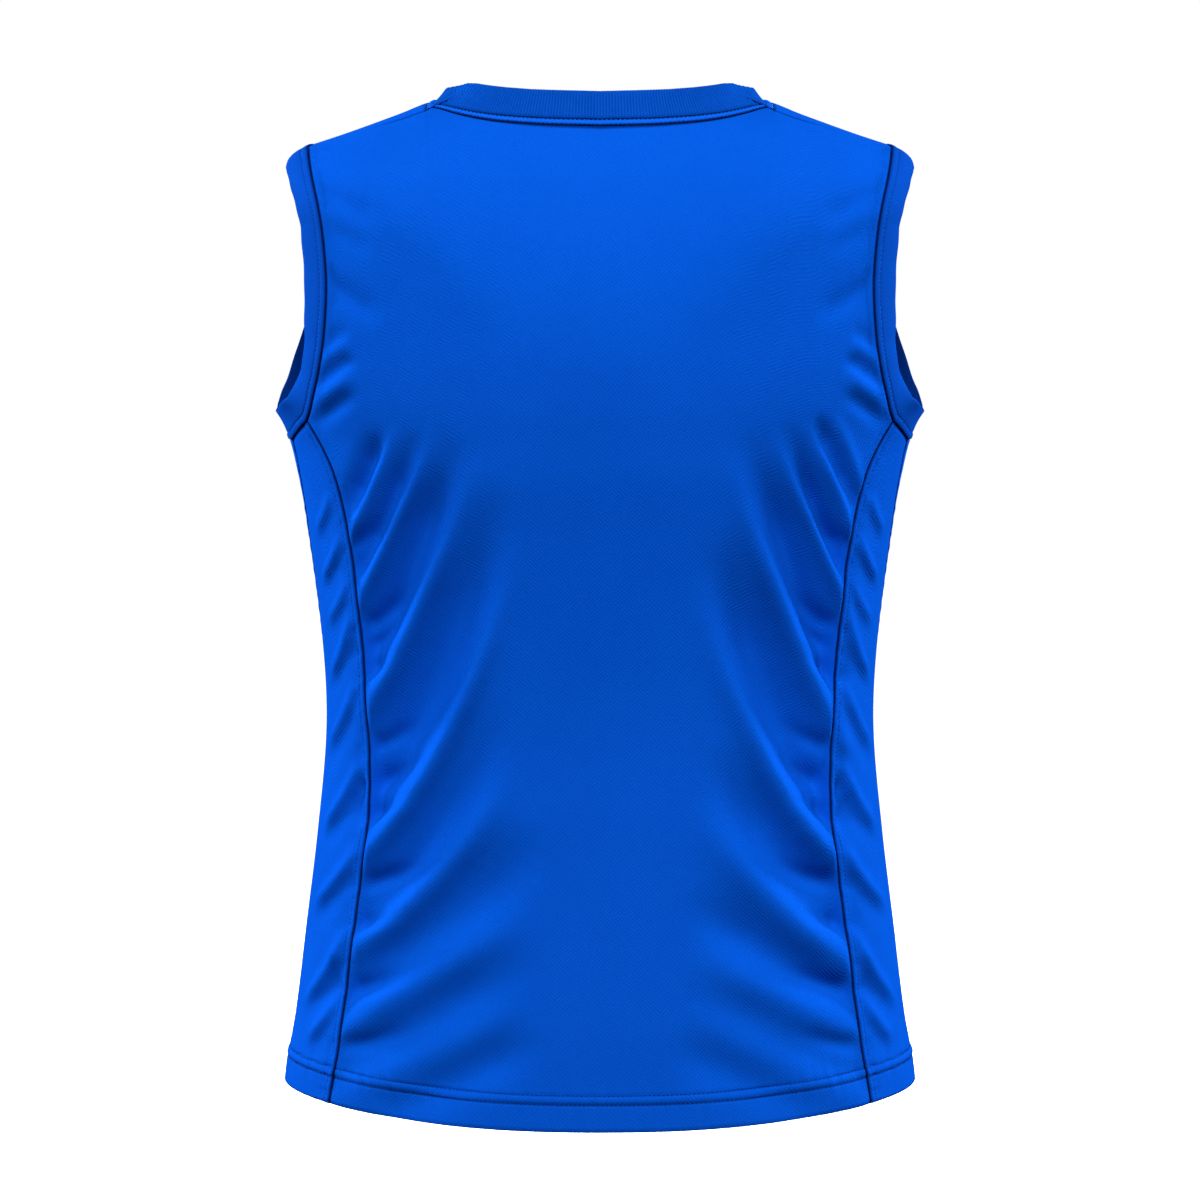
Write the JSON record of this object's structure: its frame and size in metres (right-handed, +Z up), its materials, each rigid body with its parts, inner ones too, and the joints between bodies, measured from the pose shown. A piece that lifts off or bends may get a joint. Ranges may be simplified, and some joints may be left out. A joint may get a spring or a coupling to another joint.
{
  "type": "sleeveless football jersey",
  "caption": "Sleeveless football jersey in plain knit, filled out as worn, with a ribbed round collar, armhole bands, side panels and a turned hem.",
  "frame": {"origin": "the middle of the base of the neck, level with the shoulders, where the wearer's shoulders carry the jersey", "axes": "+Z up, the jersey's front faces -Y, the wearer's left is +X"},
  "size_m": [0.4276, 0.247, 0.673],
  "materials": {
    "jersey_knit": "royal blue polyester knit, fine and smooth with a soft sheen",
    "side_knit": "the same royal blue knit, cut as narrow side panels",
    "band_knit": "the same knit folded double and edge-stitched",
    "tape_knit": "narrow strip of the knit over the neck seam, stitched along both edges",
    "collar_rib": "royal blue one-by-one ribbed knit, folded double"
  },
  "bodies": {
    "root": {"back": "jersey_knit", "front": "jersey_knit", "side_left": "side_knit", "side_right": "side_knit", "armhole_band_left": "band_knit", "armhole_band_right": "band_knit", "neck_tape": "tape_knit", "collar": "collar_rib"}
  },
  "joints": []
}
